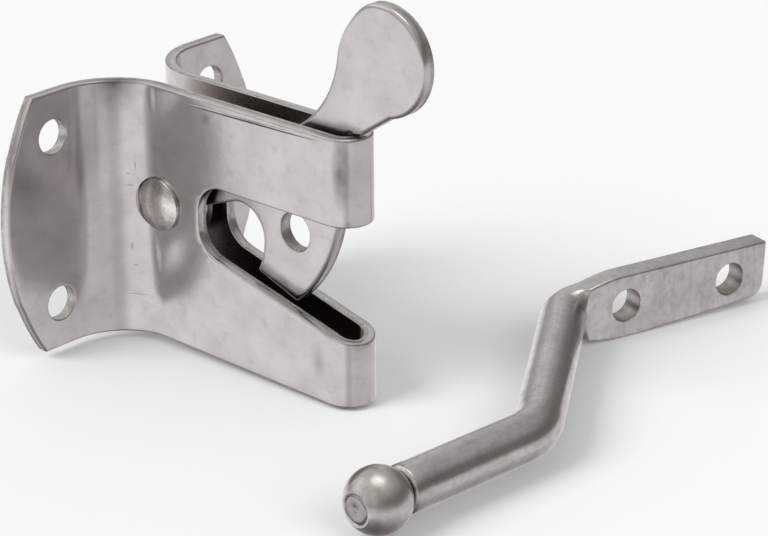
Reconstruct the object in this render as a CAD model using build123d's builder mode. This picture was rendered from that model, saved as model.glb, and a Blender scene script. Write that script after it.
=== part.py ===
from build123d import *
import math
import os

os.makedirs("parts", exist_ok=True)

# Strap of the latch body: one strip folded flange, cheek, nose, cheek, flange
sheet = 2.5
strap_top = 28.5
flange_bottom = -28.7
nose_bottom = -30.0
body_width = 11.2
nose_reach = 70.0
bend_radius = 13.1
flange_reach = 36.5
flange_end_radius = 52.7
strap_edge_bevel = 0.4

# Screw holes in the flanges
screw_pitch_y = 46.0
screw_pitch_z = 37.6
screw_hole = 7.5

# Mouth for the striker bar, cut through both cheeks and the nose
mouth_start = 27.0
mouth_top = 9.7
mouth_corner_radius = 6.8
jaw_level = 1.6
jaw_slope = 14.0

# Pivot rivet and the two washers beside the pawl
pivot_x = 15.5
pivot_z = 2.0
pin_diameter = 6.0
pin_clearance = 0.05
rivet_head_diameter = 11.7
rivet_rim_height = 0.7
rivet_dome_height = 1.2
seat_clearance = 0.1
washer_diameter = 12.0
washer_play = 0.05

# Pawl, one stamped plate between the cheeks
pawl_thickness = 3.0
pawl_edge_bevel = 0.6
pawl_corner_radius = 0.9
heel_radius = 8.8
arm_underside_slope = 20.0
bar_seat_x = 35.3
bar_seat_z = -0.5
bar_seat_radius = 6.6
hook_drop = 7.2
hook_undercut = 2.0
tip_width = 11.2
tip_drop = 4.1
nose_clearance = 0.6
front_setback = 3.4
front_bulge_z = 14.6
stop_clearance = 0.2
shackle_hole = 8.2
shackle_share = 0.4264
shackle_z = 3.8

# Thumb tab at the top of the pawl
tab_x = 75.0
tab_z = 45.6
tab_radius = 11.6
tab_flattening = 1.1
tab_foot_side = -78.0
tab_crown_side = 100.0
tab_rear_side = 143.0
tab_neck_side = 183.0
neck_rear_x = 49.0
neck_rear_z = 25.6
neck_lip = 3.2
neck_lip_rise = 0.4

# Striker: a round bar with a ball at one end and a forged flat at the other
bar_diameter = 10.0
bar_roundness = 0.99
ball_diameter = 13.6
ball_end_flat = 7.2
spigot_diameter = 6.0
spigot_clearance = 0.03
spigot_chamfer = 0.4
centre_mark = 1.6
centre_mark_depth = 0.5
centre_mark_slope = 30.0
shoulder_gap = 0.3
shoulder_chamfer = 0.6
bar_length = 42.5
crank_length = 57.4
crank_angle = 38.5
crank_bend_radius = 16.0
forging_turn = 50.7
forging_steps = 4
inside_corner_radius = 1.5
flat_thickness = 5.2
flat_neck_height = 12.2
flat_neck_drop = 0.35
flat_widening = 9.0
flat_top = 7.1
flat_bottom = 7.5
flat_end_bottom = 5.8
flat_reach = 52.4
flat_end_slant = 0.8
flat_upper_corner = 1.0
flat_lower_corner = 4.0
flat_edge_round = 0.6
gate_hole = 7.4
gate_hole_bevel = 0.3
gate_hole_pitch = 27.7
first_gate_hole = 14.65

# Where the striker lies beside the body, on the same level
striker_x = 109.0
striker_y = -40.2
striker_heading = 4.9

on_surface = 0.01
inner_half = body_width / 2 - sheet
nose_centre = nose_reach - body_width / 2
strap_depth = flange_reach + sheet


def strap_line(inset):
    """One face of the folded strap in plan, inset from its outer face."""
    flange_x = sheet - inset
    cheek = body_width / 2 - inset
    bend_y = body_width / 2 + bend_radius
    bend_x = sheet + bend_radius
    turn = (bend_radius + inset) * math.sqrt(0.5)
    near_flange = Line((flange_x, -strap_depth), (flange_x, -bend_y))
    ThreePointArc(near_flange @ 1, (bend_x - turn, turn - bend_y), (bend_x, -cheek))
    Line((bend_x, -cheek), (nose_centre, -cheek))
    ThreePointArc((nose_centre, -cheek), (nose_centre + cheek, 0), (nose_centre, cheek))
    Line((nose_centre, cheek), (bend_x, cheek))
    ThreePointArc((bend_x, cheek), (bend_x - turn, bend_y - turn), (flange_x, bend_y))
    far_flange = Line((flange_x, bend_y), (flange_x, strap_depth))
    return near_flange @ 0, far_flange @ 1


# Latch body
with BuildPart() as latch_body:
    with BuildSketch(Plane.XY.offset(nose_bottom)):
        with BuildLine():
            outer_start, outer_end = strap_line(0)
            inner_start, inner_end = strap_line(sheet)
            Line(outer_start, inner_start)
            Line(outer_end, inner_end)
        make_face()
    extrude(amount=strap_top - nose_bottom)

    # Both flanges end in a wide arc
    end_centre = flange_end_radius - flange_reach
    with BuildSketch(Plane.YZ):
        with Locations((end_centre, 0)):
            Circle(flange_end_radius)
        with Locations((-end_centre, 0)):
            Circle(flange_end_radius, mode=Mode.INTERSECT)
    extrude(amount=nose_reach, mode=Mode.INTERSECT)

    # The bottom edge drops a little from the flanges to the nose
    with BuildSketch(Plane.XZ):
        with BuildLine():
            Polyline(
                (-sheet, flange_bottom),
                (pivot_x, flange_bottom),
                (nose_reach, nose_bottom),
                (nose_reach, nose_bottom - sheet),
                (-sheet, nose_bottom - sheet),
                close=True,
            )
        make_face()
    extrude(amount=strap_depth, both=True, mode=Mode.SUBTRACT)

    # The mouth has a level upper edge and a lower jaw that slopes down to the nose
    jaw_fall = math.tan(math.radians(jaw_slope))
    mouth_end = nose_reach + sheet
    with BuildSketch(Plane.XZ) as mouth:
        with BuildLine():
            Polyline(
                (mouth_start, mouth_top),
                (mouth_end, mouth_top),
                (mouth_end, jaw_level - jaw_fall * mouth_end),
                (mouth_start, jaw_level - jaw_fall * mouth_start),
                close=True,
            )
        make_face()
        fillet(mouth.vertices().group_by(Axis.X)[0], mouth_corner_radius)
    extrude(amount=body_width, both=True, mode=Mode.SUBTRACT)

    # Rivet holes, and the seats coined for the heads where the bends begin
    with BuildSketch(Plane.XZ):
        with Locations((pivot_x, pivot_z)):
            Circle(pin_diameter / 2 + pin_clearance)
    extrude(amount=body_width, both=True, mode=Mode.SUBTRACT)
    for side in (-1, 1):
        with BuildSketch(Plane.XZ.offset(side * body_width / 2)):
            with Locations((pivot_x, pivot_z)):
                Circle(rivet_head_diameter / 2 + seat_clearance)
        extrude(amount=side * bend_radius / 2, mode=Mode.SUBTRACT)

    with BuildSketch(Plane.YZ):
        with GridLocations(screw_pitch_y, screw_pitch_z, 2, 2):
            Circle(screw_hole / 2)
    extrude(amount=sheet * 2, mode=Mode.SUBTRACT)

    # The cut edges are eased on the strap's outer side, apart from the ones under the rivet's heads
    with BuildLine(mode=Mode.PRIVATE) as outer_side:
        strap_line(0)
    outer_faces = latch_body.faces().filter_by(
        lambda face: outer_side.line.distance_to(Vector(face.center().X, face.center().Y)) < on_surface
    )
    cut_faces = latch_body.faces() - outer_faces
    pivot_line = Edge.make_line((pivot_x, -strap_depth, pivot_z), (pivot_x, strap_depth, pivot_z))
    cut_edges = (outer_faces.edges() & cut_faces.edges()).filter_by(
        lambda edge: edge.distance_to(pivot_line) > rivet_head_diameter / 2 + strap_edge_bevel
    )
    chamfer(cut_edges, strap_edge_bevel)
latch_body.part.label = "latch_body"
export_step(latch_body.part, "parts/latch_body.step")

# Rivet with a shank through both cheeks and a low domed head on each side
with BuildPart() as pivot_rivet:
    head_edge = pivot_x + rivet_head_diameter / 2
    shank_edge = pivot_x + pin_diameter / 2
    rim_y = body_width / 2 + rivet_rim_height
    with BuildSketch(Plane.XY.offset(pivot_z)):
        with BuildLine():
            middle = Line((pivot_x, 0), (pivot_x, rim_y + rivet_dome_height))
            dome = TangentArc(middle @ 1, (head_edge, rim_y), tangent=(1, 0))
            Polyline(
                dome @ 1,
                (head_edge, body_width / 2),
                (shank_edge, body_width / 2),
                (shank_edge, 0),
                (pivot_x, 0),
            )
        make_face()
        mirror(about=Plane.XZ)
    revolve(axis=Axis((pivot_x, 0, pivot_z), (0, 1, 0)))
pivot_rivet.part.label = "pivot_rivet"
export_step(pivot_rivet.part, "parts/pivot_rivet.step")


def spacer_washer(middle_y):
    """A washer on the rivet that fills the space between the pawl and a cheek."""
    washer_thickness = inner_half - pawl_thickness / 2 - 2 * washer_play
    with BuildPart() as washer:
        with BuildSketch(Plane.XZ.offset(-middle_y)):
            with Locations((pivot_x, pivot_z)):
                Circle(washer_diameter / 2)
                Circle(pin_diameter / 2 + pin_clearance, mode=Mode.SUBTRACT)
        extrude(amount=washer_thickness / 2, both=True)
    return washer


washer_middle = (inner_half + pawl_thickness / 2) / 2
near_washer = spacer_washer(-washer_middle)
near_washer.part.label = "near_washer"
export_step(near_washer.part, "parts/near_washer.step")
far_washer = spacer_washer(washer_middle)
far_washer.part.label = "far_washer"
export_step(far_washer.part, "parts/far_washer.step")

# Pawl: one outline, clockwise from the heel over the thumb tab to the hook and the bar's seat
pivot = Vector(pivot_x, pivot_z)
tab_centre = Vector(tab_x, tab_z)
seat_centre = Vector(bar_seat_x, bar_seat_z)


def on_circle(centre, radius, degrees):
    """A point of a circle in the pawl's plane."""
    angle = math.radians(degrees)
    return centre + Vector(radius * math.cos(angle), radius * math.sin(angle))


with BuildPart() as pawl:
    # The back runs from the heel's circle to the foot of the neck
    neck_rear = Vector(neck_rear_x, neck_rear_z)
    rise = neck_rear - pivot
    back_slope = math.degrees(math.atan2(rise.Y, rise.X) - math.asin(heel_radius / rise.length))
    heel_top = on_circle(pivot, heel_radius, 90 + back_slope)

    # The arm's straight underside starts on the heel's circle and ends in the bar's seat
    seat_turn = 90 + arm_underside_slope
    seat_top = on_circle(seat_centre, bar_seat_radius, seat_turn)
    seat_front = on_circle(seat_centre, bar_seat_radius, 0)
    underside = on_circle(Vector(0, 0), 1, arm_underside_slope)
    seat_reach = (seat_top - pivot).dot(underside)
    seat_depth = (seat_top - pivot - underside * seat_reach).length
    arm_start = seat_top - underside * (seat_reach - math.sqrt(heel_radius**2 - seat_depth**2))

    # The front clears the fold of the nose, and the neck's lip rests on the nose's upper edge
    hook_inner = seat_front + Vector(-hook_undercut, -hook_drop)
    tip = hook_inner + Vector(tip_width, -tip_drop)
    fold_reach = nose_centre + math.sqrt(inner_half**2 - (pawl_thickness / 2) ** 2)
    front_bulge = Vector(fold_reach - front_setback, front_bulge_z)
    shackle_x = seat_front.X + shackle_share * (front_bulge.X - seat_front.X)
    stop_corner = Vector(fold_reach - nose_clearance, strap_top + stop_clearance)
    lip_end = stop_corner + Vector(neck_lip, neck_lip_rise)
    tab_foot = on_circle(tab_centre, tab_radius, tab_foot_side)
    tab_front = on_circle(tab_centre, tab_radius, (tab_foot_side + tab_crown_side) / 2)
    tab_crown = on_circle(tab_centre, tab_radius, tab_crown_side)
    tab_rear = on_circle(tab_centre, tab_radius - tab_flattening, tab_rear_side)
    tab_neck = on_circle(tab_centre, tab_radius, tab_neck_side)
    with BuildSketch(Plane.XZ) as pawl_outline:
        with BuildLine():
            back = Line(heel_top, neck_rear)
            neck = TangentArc(neck_rear, tab_neck, tangent=back % 1)
            crown = ThreePointArc(tab_crown, tab_front, tab_foot)
            Spline(tab_neck, tab_rear, tab_crown, tangents=(neck % 1, crown % 0))
            Polyline(tab_foot, lip_end, stop_corner)
            TangentArc(front_bulge, stop_corner, tangent=(0, 1))
            TangentArc(front_bulge, tip, tangent=(0, -1))
            Line(tip, hook_inner)
            TangentArc(seat_front, hook_inner, tangent=(0, -1))
            ThreePointArc(seat_front, on_circle(seat_centre, bar_seat_radius, seat_turn / 2), seat_top)
            Line(seat_top, arm_start)
            ThreePointArc(arm_start, on_circle(pivot, heel_radius, -90), heel_top)
        make_face()
        for corner in (tip, hook_inner, stop_corner, lip_end, tab_foot):
            fillet(pawl_outline.vertices().sort_by_distance(corner)[0], pawl_corner_radius)
        with Locations(pivot):
            Circle(pin_diameter / 2 + pin_clearance, mode=Mode.SUBTRACT)
        with Locations((shackle_x, shackle_z)):
            Circle(shackle_hole / 2, mode=Mode.SUBTRACT)
    extrude(amount=pawl_thickness / 2, both=True)

    # The plate was punched from its near side, which has the eased edge
    near_edges = pawl.faces().sort_by(Axis.Y)[0].edges()
    pivot_rim = near_edges.sort_by_distance((pivot_x, 0, pivot_z))[0]
    chamfer(near_edges - ShapeList([pivot_rim]), pawl_edge_bevel)
pawl.part.label = "pawl"
export_step(pawl.part, "parts/pawl.step")

# The striker lies with its crank level; the ball rests on the level of the nose's bottom edge
striker_plane = Plane(
    origin=(striker_x, striker_y, nose_bottom + ball_diameter / 2),
    x_dir=(math.sin(math.radians(striker_heading)), math.cos(math.radians(striker_heading)), 0),
    z_dir=(0, 0, 1),
)


def flat_direction(degrees):
    """A level direction, turned from the bar's line towards the post."""
    angle = math.radians(degrees)
    return Vector(math.cos(angle), math.sin(angle), 0)


def across(place, degrees):
    """Plane across the striker, facing along the given direction, with +Y up."""
    origin = striker_plane.from_local_coords(place)
    forward = striker_plane.from_local_coords(place + flat_direction(degrees)) - origin
    left = striker_plane.from_local_coords(place + flat_direction(degrees + 90)) - origin
    return Plane(origin=origin, x_dir=left, z_dir=forward)


crank_start = Vector(bar_length, 0, 0)
crank_end = crank_start + flat_direction(crank_angle) * crank_length
flat_angle = crank_angle - forging_turn
ball_face = math.sqrt((ball_diameter / 2) ** 2 - (ball_end_flat / 2) ** 2)
shoulder_rim_radius = bar_diameter / 2 - shoulder_chamfer
shoulder = math.sqrt((ball_diameter / 2) ** 2 - shoulder_rim_radius**2) + shoulder_gap

# Centre of the inside corner between the crank and the flat
crank_offset = bar_diameter / 2 + inside_corner_radius
flat_offset = flat_thickness / 2 + inside_corner_radius
turn_cos = math.cos(math.radians(forging_turn))
turn_sin = math.sin(math.radians(forging_turn))
crank_right = flat_direction(crank_angle - 90)
flat_right = flat_direction(flat_angle - 90)
corner_centre = (
    crank_end
    + crank_right * ((crank_offset - flat_offset * turn_cos) / turn_sin**2)
    + flat_right * ((flat_offset - crank_offset * turn_cos) / turn_sin**2)
)


with BuildPart() as striker_bar:
    crank_stop = corner_centre + flat_direction(crank_angle + 90) * crank_offset
    with BuildLine(striker_plane) as bar_line:
        FilletPolyline((shoulder, 0), (bar_length, 0), (crank_stop.X, crank_stop.Y), radius=crank_bend_radius)
    with BuildSketch(across(Vector(shoulder, 0, 0), 0)):
        Circle(bar_diameter / 2)
    sweep(path=bar_line.line)
    bar_rims = striker_bar.edges().filter_by(GeomType.CIRCLE)
    chamfer(bar_rims.sort_by_distance(striker_plane.origin)[0], shoulder_chamfer)

    # The spigot goes through the ball and has a turning centre in its end
    spigot_end = across(Vector(-ball_face, 0, 0), 0)
    with BuildSketch(spigot_end):
        Circle(spigot_diameter / 2)
    extrude(amount=ball_face + shoulder)
    spigot_rims = striker_bar.edges().filter_by(GeomType.CIRCLE)
    chamfer(spigot_rims.sort_by_distance(spigot_end.origin)[0], spigot_chamfer)
    with BuildSketch(spigot_end):
        Circle(centre_mark / 2)
    extrude(amount=centre_mark_depth, taper=centre_mark_slope, mode=Mode.SUBTRACT)

    # Forged corner: the section turns about the corner's centre as it goes from round to flat
    for step in range(forging_steps + 1):
        fraction = step / forging_steps
        degrees = crank_angle - forging_turn * fraction
        thickness = bar_diameter + (flat_thickness - bar_diameter) * fraction
        height = bar_diameter + (flat_neck_height - bar_diameter) * fraction
        rounding = bar_roundness * bar_diameter / 2 * (1 - fraction) + flat_edge_round * fraction
        place = corner_centre + flat_direction(degrees + 90) * (inside_corner_radius + thickness / 2)
        with BuildSketch(across(place - Vector(0, 0, flat_neck_drop * fraction), degrees)):
            RectangleRounded(thickness, height, rounding)
    loft()

    # Past the corner it widens in a quarter of a wave to the full height of the flat
    flat_start = corner_centre + flat_direction(flat_angle + 90) * flat_offset
    flat_middle = (flat_top - flat_bottom) / 2
    for step in range(forging_steps + 1):
        fraction = math.sin(math.radians(90 * step / forging_steps))
        middle = flat_middle * fraction - flat_neck_drop * (1 - fraction)
        height = (flat_top + flat_bottom) * fraction + flat_neck_height * (1 - fraction)
        place = flat_start + flat_direction(flat_angle) * (flat_widening * step / forging_steps)
        with BuildSketch(across(place + Vector(0, 0, middle), flat_angle)):
            RectangleRounded(flat_thickness, height, flat_edge_round)
    loft(ruled=True)

    # The flat narrows a little from below towards its free end
    start_reach = (flat_start - crank_end).dot(flat_direction(flat_angle)) + flat_widening
    flat_section = across(flat_start + flat_direction(flat_angle) * flat_widening, flat_angle)
    flat_side = Plane(origin=flat_section.origin, x_dir=flat_section.z_dir, z_dir=-flat_section.x_dir)
    flat_length = flat_reach - start_reach
    with BuildPart() as forged_flat:
        with BuildSketch(flat_side) as flat_outline:
            with BuildLine():
                Polyline(
                    (0, flat_top),
                    (flat_length, flat_top),
                    (flat_length - flat_end_slant, -flat_end_bottom),
                    (gate_hole / 2, -flat_bottom),
                    (0, -flat_bottom),
                    close=True,
                )
            make_face()
            upper_end = flat_outline.vertices().sort_by_distance((flat_length, flat_top))[0]
            fillet(upper_end, flat_upper_corner)
            lower_end = flat_outline.vertices().sort_by_distance((flat_length, -flat_end_bottom))[0]
            fillet(lower_end, flat_lower_corner)
        extrude(amount=flat_thickness / 2, both=True)
        flat_rims = forged_flat.faces().filter_by(Axis(flat_side.origin, flat_side.z_dir)).edges()
        fillet(flat_rims.sort_by_distance(flat_side.origin)[2:], flat_edge_round)

    # Two screw holes for the gate, the first one where the neck runs into the flat
    first_hole_reach = first_gate_hole - start_reach
    with BuildSketch(flat_side):
        with Locations((first_hole_reach, 0), (first_hole_reach + gate_hole_pitch, 0)):
            Circle(gate_hole / 2)
    extrude(amount=flat_thickness, both=True, mode=Mode.SUBTRACT)
    circles = striker_bar.edges().filter_by(GeomType.CIRCLE)
    hole_rims = circles.filter_by(lambda rim: abs(rim.radius - gate_hole / 2) < on_surface)
    chamfer(hole_rims, gate_hole_bevel)
striker_bar.part.label = "striker_bar"
export_step(striker_bar.part, "parts/striker_bar.step")

# Ball, bored for the bar's spigot and faced flat at both ends of the bore
with BuildPart() as striker_ball:
    shoulder_face = shoulder - shoulder_gap
    ball_radius = ball_diameter / 2
    bore_radius = spigot_diameter / 2 + spigot_clearance
    upright = Plane(origin=striker_plane.origin, x_dir=striker_plane.x_dir, z_dir=-striker_plane.y_dir)
    with BuildSketch(upright):
        with BuildLine():
            end_face = Line((-ball_face, bore_radius), (-ball_face, ball_end_flat / 2))
            skin = ThreePointArc(end_face @ 1, (0, ball_radius), (shoulder_face, shoulder_rim_radius))
            Polyline(skin @ 1, (shoulder_face, bore_radius), end_face @ 0)
        make_face()
    revolve(axis=Axis(striker_plane.origin, striker_plane.x_dir))
striker_ball.part.label = "striker_ball"
export_step(striker_ball.part, "parts/striker_ball.step")
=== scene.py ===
import bpy
import bmesh
import functools
import math
from mathutils import Matrix, Vector


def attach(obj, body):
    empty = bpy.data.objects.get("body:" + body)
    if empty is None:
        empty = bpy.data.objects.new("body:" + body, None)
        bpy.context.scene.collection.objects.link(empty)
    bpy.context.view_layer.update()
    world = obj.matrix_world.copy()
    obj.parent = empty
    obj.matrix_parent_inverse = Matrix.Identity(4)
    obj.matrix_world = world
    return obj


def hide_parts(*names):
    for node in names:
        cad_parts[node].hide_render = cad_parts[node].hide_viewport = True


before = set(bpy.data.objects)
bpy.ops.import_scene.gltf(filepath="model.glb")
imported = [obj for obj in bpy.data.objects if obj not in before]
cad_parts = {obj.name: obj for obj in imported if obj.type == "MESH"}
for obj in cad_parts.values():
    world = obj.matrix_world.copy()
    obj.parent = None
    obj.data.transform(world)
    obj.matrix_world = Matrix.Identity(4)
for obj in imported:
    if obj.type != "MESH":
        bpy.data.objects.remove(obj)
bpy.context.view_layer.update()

# Latch body: one strip of stainless sheet, punched flat with its mouth and holes, then bent round the nose
# and out into two flanges. The press leaves each cut rolled over outside, smooth below that and then torn.
# The blank is drawn flat here, along the strip and up, and a node tree folds it as the press does.
sheet = 0.0025
strap_top = 0.0285
flange_bottom = -0.0287
nose_bottom = -0.030
body_width = 0.0112
nose_reach = 0.070
bend_radius = 0.0131
flange_reach = 0.0365
flange_end_radius = 0.0527
screw_hole_radius = 0.00375
screw_out, screw_up = 0.0230, 0.0188
pivot_x, pivot_z = 0.0155, 0.0020
rivet_hole_radius = 0.00305
seat_radius, seat_rim_radius, seat_ring_radius = 0.00595, 0.00607, 0.00631
mouth_start, mouth_top = 0.0270, 0.0097
mouth_corner_radius = 0.0068
jaw_level, jaw_slope = 0.0016, math.radians(14)
parting_step, parting_reach = 0.00022, 0.0165
edge_rollover, mouth_rollover, hole_rollover = 0.00050, 0.00040, 0.00030
rollover_steps, rollover_slant = 5, 0.8
torn_edge = ((0, 0.58), (0.00004, 0.62), (0.00007, 0.93), (0.00002, 0.975), (0.00010, 1))
cut_wall, torn_wall, no_wall = 4, 6, 99
skin_face, sheared_face, inner_face = 0, 1, 2
nose_steps, corner_steps, end_steps, hole_steps = 8, 12, 40, 48
beside_middle, inside_past_bend = 0.001, 0.003
upright_spacing, upright_lines = 0.003, 20
merge_distance, face_margin = 1e-7, 1e-6
edge_flare, flare_start, flare_blend, flare_run = 0.00012, 0.020, 0.002, 0.0085
waviness, wave_scale, wave_upright, wave_seed = 0.00016, 70, 0.6, 3.7

nose_radius = body_width / 2
nose_centre = nose_reach - nose_radius
nose_length = nose_radius * math.pi / 2
cheek_length = nose_centre - sheet - bend_radius
bend_length = bend_radius * math.pi / 2
flange_start = nose_length + cheek_length + bend_length
strip_end = flange_start + flange_reach - nose_radius - bend_radius
inside_length = nose_length + cheek_length + inside_past_bend


def along_nose(x):
    """Length along the strip, from the middle of the nose, of a place on the cheek."""
    return nose_length + nose_centre - x


def strip_x(length):
    """How far out from the post a place on the nose or the cheek comes once the strip is folded."""
    if length < nose_length:
        return nose_centre + nose_radius * math.cos(length / nose_radius)
    return nose_centre + nose_length - length


def arc(centre, radius, first, last, steps):
    """Points of an arc, both ends included, with its angles in degrees."""
    angles = [math.radians(first + (last - first) * step / steps) for step in range(steps + 1)]
    return [Vector((centre[0] + radius * math.cos(a), centre[1] + radius * math.sin(a))) for a in angles]


def mirrored(half):
    """A closed outline from its half on the far side of the nose, bottom to top."""
    return half + [Vector((-point.x, point.y)) for point in reversed(half)]


def blank_outline():
    """The strip's own outline: its lower edge falls towards the nose, and its ends are wide arcs."""
    fall = (nose_bottom - flange_bottom) / (nose_reach - pivot_x)
    half = []
    for step in range(nose_steps + 1):
        length = nose_length * step / nose_steps
        half.append(Vector((length, flange_bottom + fall * (strip_x(length) - pivot_x))))
    half.append(Vector((along_nose(pivot_x), flange_bottom)))
    end_middle = flange_end_radius - flange_reach
    corner_turn = math.asin(strap_top / flange_end_radius)
    foot_turn = math.asin(-flange_bottom / flange_end_radius)
    for step in range(end_steps + 1):
        turn = -foot_turn + (corner_turn + foot_turn) * step / end_steps
        up = flange_end_radius * math.sin(turn)
        out = flange_end_radius * math.cos(turn) - end_middle - (nose_radius + bend_radius)
        step_back = parting_step if abs(up) > parting_reach else 0
        half.append(Vector((flange_start + out - step_back, up)))
    half.append(Vector((nose_length, strap_top)))
    half.append(Vector((beside_middle, strap_top)))
    return mirrored(half)


def mouth_outline():
    """The window that becomes the mouth, from one cheek round the nose to the other."""
    fall = math.tan(jaw_slope)
    half = []
    for step in range(nose_steps + 1):
        length = nose_length * step / nose_steps
        half.append(Vector((length, jaw_level - fall * strip_x(length))))
    corner_x = mouth_start + mouth_corner_radius
    lower_middle = jaw_level - fall * corner_x + mouth_corner_radius / math.cos(jaw_slope)
    upper_middle = mouth_top - mouth_corner_radius
    foot = math.degrees(jaw_slope) - 90
    half += arc((along_nose(corner_x), lower_middle), mouth_corner_radius, foot, 0, corner_steps)
    half += arc((along_nose(corner_x), upper_middle), mouth_corner_radius, 0, 90, corner_steps)
    half += [Vector((nose_length, mouth_top)), Vector((beside_middle, mouth_top))]
    return list(reversed(mirrored(half)))


def round_hole(centre, radius, steps):
    """A round hole, drawn clockwise, so that the sheet is always on the outline's left."""
    return list(reversed(arc(centre, radius, 0, 360 * (steps - 1) / steps, steps - 1)))


def cut_profile(rollover, depth):
    """Steps of a punched edge, each as how far it is set back and how deep it lies."""
    rows = []
    for step in range(rollover_steps + 1):
        turn = math.radians(90 * step / rollover_steps)
        rows.append((rollover * (1 - math.sin(turn)), rollover * rollover_slant * (1 - math.cos(turn))))
    return rows + [(back, depth * share) for back, share in torn_edge]


def set_back(outline, distance):
    """The outline moved into the sheet by a distance, with its corners kept."""
    moved = []
    for index, point in enumerate(outline):
        before = (point - outline[index - 1]).normalized()
        after = (outline[(index + 1) % len(outline)] - point).normalized()
        across_before = Vector((-before.y, before.x))
        across_after = Vector((-after.y, after.x))
        lean = (across_before + across_after) / (1 + across_before.dot(across_after))
        moved.append(point + lean * distance)
    return moved


def punched_plate(cuts):
    """A flat plate in the plane of its outlines, with every edge cut to its own profile."""
    plate = bmesh.new()
    pressed = plate.verts.layers.float.new("pressed")
    finish = plate.faces.layers.int.new("finish")
    rims = {0: [], -1: []}
    for outline, profile, first_wall in cuts:
        rings = []
        for row in profile:
            ring = [plate.verts.new((p.x, p.y, row[1])) for p in set_back(outline, row[0])]
            for vert in ring:
                vert[pressed] = row[2] if len(row) > 2 else 0
            rings.append(ring)
        for level, (upper, lower) in enumerate(zip(rings, rings[1:])):
            for index in range(len(upper)):
                wall = plate.faces.new((upper[index - 1], upper[index], lower[index], lower[index - 1]))
                wall[finish] = sheared_face if first_wall <= level < len(rings) - 2 else skin_face
        for end in rims:
            ring = rings[end]
            rims[end] += [plate.edges.get((ring[index - 1], ring[index])) for index in range(len(ring))]
    for end in rims:
        bmesh.ops.triangle_fill(plate, edges=rims[end], use_beauty=True)
    return plate


def scored(plate, along, places):
    """The plate cut into strips at places along one direction, so that it can be bent there."""
    for place in places:
        whole = plate.verts[:] + plate.edges[:] + plate.faces[:]
        bmesh.ops.bisect_plane(plate, geom=whole, dist=merge_distance, plane_co=along * place, plane_no=along)


def placed(name, data):
    """A new object in the scene, at the origin."""
    piece = bpy.data.objects.new(name, data)
    bpy.context.scene.collection.objects.link(piece)
    return piece


def as_piece(skin, name):
    """A skin of faces made into an object."""
    mesh = bpy.data.meshes.new(name)
    skin.to_mesh(mesh)
    skin.free()
    return placed(name, mesh)


def finished_plate(plate, name):
    """The plate as an object, with its place on the sheet kept as a UV map for the grain."""
    grain = plate.loops.layers.uv.new("grain")
    for face in plate.faces:
        face.smooth = True
        for loop in face.loops:
            loop[grain].uv = (loop.vert.co.y, loop.vert.co.x)
    return as_piece(plate, name)


seat_cut = [(radius - rivet_hole_radius, 0, 0) for radius in (seat_ring_radius, seat_rim_radius)]
seat_cut += [(seat_radius - rivet_hole_radius, 0, 1), (0, 0, 1), (0, sheet, 0)]
cuts = [
    (blank_outline(), cut_profile(edge_rollover, sheet), torn_wall),
    (mouth_outline(), cut_profile(mouth_rollover, sheet), torn_wall),
]
for side in (-1, 1):
    rivet_place = (side * along_nose(pivot_x), pivot_z)
    cuts.append((round_hole(rivet_place, rivet_hole_radius, hole_steps), seat_cut, no_wall))
    for height in (-screw_up, screw_up):
        screw_place = (side * (flange_start + screw_out - nose_radius - bend_radius), height)
        screw_hole = round_hole(screw_place, screw_hole_radius, hole_steps)
        cuts.append((screw_hole, cut_profile(hole_rollover, sheet), cut_wall))
blank = punched_plate(cuts)
bend_lines = []
for start, end, steps in (
    (0, nose_length, 30), (nose_length, nose_length + cheek_length, 16),
    (nose_length + cheek_length, flange_start, 48), (flange_start, strip_end, 6),
):
    bend_lines += [start + (end - start) * step / steps for step in range(steps)]
scored(blank, Vector((1, 0, 0)), sorted({side * line for line in bend_lines for side in (-1, 1)}))
upright_places = [nose_bottom + upright_spacing * step for step in range(1, upright_lines)]
scored(blank, Vector((0, 1, 0)), upright_places)
finish = blank.faces.layers.int["finish"]
for face in blank.faces:
    face_middle = face.calc_center_median()
    if face_middle.z > sheet - face_margin and abs(face_middle.x) < inside_length:
        face[finish] = inner_face
body = finished_plate(blank, "strap")


def wired(tree, kind, inputs=(), **options):
    """A new node with its options set, and each of its inputs set or joined to another's result."""
    node = tree.nodes.new(kind)
    for option, value in options.items():
        setattr(node, option, value)
    for name, value in dict(inputs).items():
        if isinstance(value, bpy.types.NodeSocket):
            tree.links.new(value, node.inputs[name])
        else:
            node.inputs[name].default_value = value
    return node


def reckon(tree, operation, *values):
    """One sum in a node tree, from plain numbers or other nodes' results."""
    return wired(tree, "ShaderNodeMath", enumerate(values), operation=operation).outputs[0]


def node_tree(name, sizes, finishes):
    """An empty tree with named inputs for its sizes and its finishes."""
    tree = bpy.data.node_groups.new(name, "GeometryNodeTree")
    tree.interface.new_socket("Geometry", in_out="INPUT", socket_type="NodeSocketGeometry")
    for size in sizes:
        tree.interface.new_socket(size, in_out="INPUT", socket_type="NodeSocketFloat")
    for finish in finishes:
        tree.interface.new_socket(finish, in_out="INPUT", socket_type="NodeSocketMaterial")
    tree.interface.new_socket("Geometry", in_out="OUTPUT", socket_type="NodeSocketGeometry")
    return tree, tree.nodes.new("NodeGroupInput").outputs, tree.nodes.new("NodeGroupOutput").inputs


def made_by(piece, tree, values):
    """The piece as the tree makes it, as a plain mesh with no modifier left."""
    modifier = piece.modifiers.new(tree.name, "NODES")
    modifier.node_group = tree
    for socket in tree.interface.items_tree:
        if socket.name in values:
            modifier[socket.identifier] = values[socket.name]
    evaluated = piece.evaluated_get(bpy.context.evaluated_depsgraph_get())
    made = bpy.data.meshes.new_from_object(evaluated)
    piece.modifiers.remove(modifier)
    piece.data = made


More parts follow.
